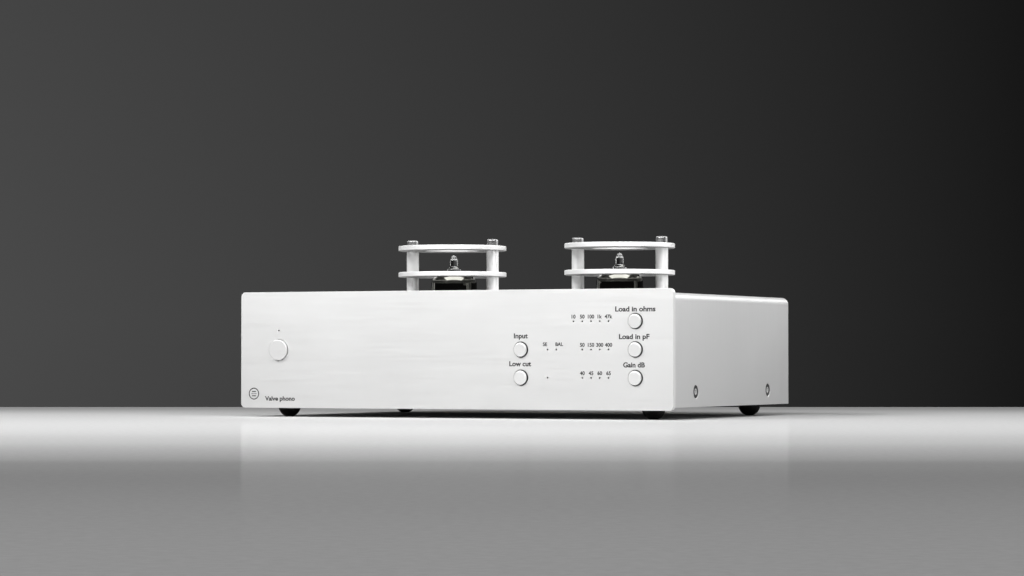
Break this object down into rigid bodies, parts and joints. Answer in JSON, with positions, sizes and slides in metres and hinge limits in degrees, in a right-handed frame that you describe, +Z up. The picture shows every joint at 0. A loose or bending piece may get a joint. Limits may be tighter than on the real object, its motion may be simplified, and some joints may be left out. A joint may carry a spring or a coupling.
{
  "type": "valve phono preamplifier",
  "caption": "Phono preamplifier in a shallow aluminium case: push buttons and lamps on a thick front panel, valves standing in ring cages on top, sockets at the rear.",
  "frame": {"origin": "middle of the footprint on the table, buttons and rear terminals included", "axes": "+X to the right seen from the front, +Y to the rear sockets, +Z up; the front panel faces -Y"},
  "size_m": [0.206, 0.15, 0.0798],
  "materials": {
    "panel_aluminium": "fine satin brushing, clear anodised",
    "key_aluminium": "satin face, sides darkened by the gap they stand in",
    "cover_aluminium": "satin brushed sheet, clear anodised",
    "tray_aluminium": "matt anodised sheet",
    "ring_aluminium": "turned and satin anodised",
    "steel_bright": "bright zinc plated",
    "steel_screw": "stainless",
    "foot_rubber": "matt black",
    "valve_glass": "clear, with a getter mirror in the dome",
    "valve_nickel": "nickel wire and sleeves",
    "valve_anode": "carbonised grey",
    "valve_mica": "mica sheet",
    "socket_body": "cream moulding",
    "contact_gold": "gold plated",
    "board_green": "solder resist on glass epoxy",
    "film_red": "moulded case",
    "can_sleeve": "shrink sleeve over an aluminium can",
    "relay_case": "moulded case",
    "chip_black": "moulded epoxy",
    "heatsink_black": "black anodised",
    "switch_black": "moulded case",
    "plunger_white": "moulded",
    "lamp_clear": "clear epoxy lens",
    "cable_grey": "PVC",
    "insulator": "white, or red on the lower sockets",
    "connector_shell": "die-cast, nickel plated",
    "socket_black": "moulded"
  },
  "bodies": {
    "chassis": {"front_panel": "panel_aluminium", "cover": "cover_aluminium", "base_tray": "tray_aluminium", "rubber_feet": "foot_rubber", "cover_screws": "steel_screw", "m3_nuts": "steel_bright", "cage_left_upper_ring": "ring_aluminium", "cage_left_lower_ring": "ring_aluminium", "cage_right_upper_ring": "ring_aluminium", "cage_right_lower_ring": "ring_aluminium", "cage_spacers": "ring_aluminium", "cage_screws": "steel_bright", "valve_sockets": "socket_body", "socket_contacts": "contact_gold", "main_board": "board_green", "board_screws": "steel_bright", "film_capacitors": "film_red", "electrolytic_capacitors": "can_sleeve", "relays": "relay_case", "amplifier_chips": "chip_black", "heatsink": "heatsink_black", "control_board": "board_green", "tact_switches": "switch_black", "indicator_leds": "lamp_clear", "ribbon_cable": "cable_grey", "dc_socket": "socket_black", "ground_stud": "contact_gold", "rca_barrels": "contact_gold", "rca_insulators": "insulator", "xlr_outputs": "connector_shell", "mini_xlr_input": "connector_shell", "connector_contacts": "contact_gold", "connector_nuts": "steel_bright", "connector_screws": "steel_screw"},
    "power_key": {"power_button": "panel_aluminium", "power_plunger": "plunger_white"},
    "input_key": {"input_button": "key_aluminium", "input_plunger": "plunger_white"},
    "subsonic_key": {"subsonic_button": "key_aluminium", "subsonic_plunger": "plunger_white"},
    "load_ohm_key": {"load_ohm_button": "key_aluminium", "load_ohm_plunger": "plunger_white"},
    "load_pf_key": {"load_pf_button": "key_aluminium", "load_pf_plunger": "plunger_white"},
    "gain_key": {"gain_button": "key_aluminium", "gain_plunger": "plunger_white"},
    "valve_left": {"valve_left_glass": "valve_glass", "valve_left_pins": "valve_nickel", "valve_left_anodes": "valve_anode", "valve_left_micas": "valve_mica", "valve_left_cathodes": "valve_nickel", "valve_left_getter": "valve_nickel"},
    "valve_right": {"valve_right_glass": "valve_glass", "valve_right_pins": "valve_nickel", "valve_right_anodes": "valve_anode", "valve_right_micas": "valve_mica", "valve_right_cathodes": "valve_nickel", "valve_right_getter": "valve_nickel"},
    "terminal_washer": {"ground_washer": "contact_gold"},
    "terminal_nut": {"ground_nut": "contact_gold"}
  },
  "joints": [
    {"name": "power_press", "type": "slide", "parent": "chassis", "child": "power_key", "axis": [0, 1, 0], "range_m": [0, 0.0008], "stiffness_N_per_m": 300, "springref_m": -0.004},
    {"name": "input_press", "type": "slide", "parent": "chassis", "child": "input_key", "axis": [0, 1, 0], "range_m": [0, 0.0008], "stiffness_N_per_m": 300, "springref_m": -0.004},
    {"name": "subsonic_press", "type": "slide", "parent": "chassis", "child": "subsonic_key", "axis": [0, 1, 0], "range_m": [0, 0.0008], "stiffness_N_per_m": 300, "springref_m": -0.004},
    {"name": "load_ohm_press", "type": "slide", "parent": "chassis", "child": "load_ohm_key", "axis": [0, 1, 0], "range_m": [0, 0.0008], "stiffness_N_per_m": 300, "springref_m": -0.004},
    {"name": "load_pf_press", "type": "slide", "parent": "chassis", "child": "load_pf_key", "axis": [0, 1, 0], "range_m": [0, 0.0008], "stiffness_N_per_m": 300, "springref_m": -0.004},
    {"name": "gain_press", "type": "slide", "parent": "chassis", "child": "gain_key", "axis": [0, 1, 0], "range_m": [0, 0.0008], "stiffness_N_per_m": 300, "springref_m": -0.004},
    {"name": "valve_left_pull", "type": "slide", "parent": "chassis", "child": "valve_left", "axis": [0, 0, 1], "range_m": [0, 0.062]},
    {"name": "valve_right_pull", "type": "slide", "parent": "chassis", "child": "valve_right", "axis": [0, 0, 1], "range_m": [0, 0.062]},
    {"name": "terminal_washer_slide", "type": "slide", "parent": "chassis", "child": "terminal_washer", "axis": [0, 1, 0], "range_m": [0, 0.00385]},
    {"name": "terminal_nut_turn", "type": "hinge", "parent": "terminal_washer", "child": "terminal_nut", "pos_m": [-0.076, 0.06825, 0.0295], "axis": [0, 1, 0], "range_deg": [0, 1980]}
  ],
  "couplings": [
    {"joint": "terminal_nut_turn", "follows": "terminal_washer_slide", "rad_per_m": 8976}
  ]
}
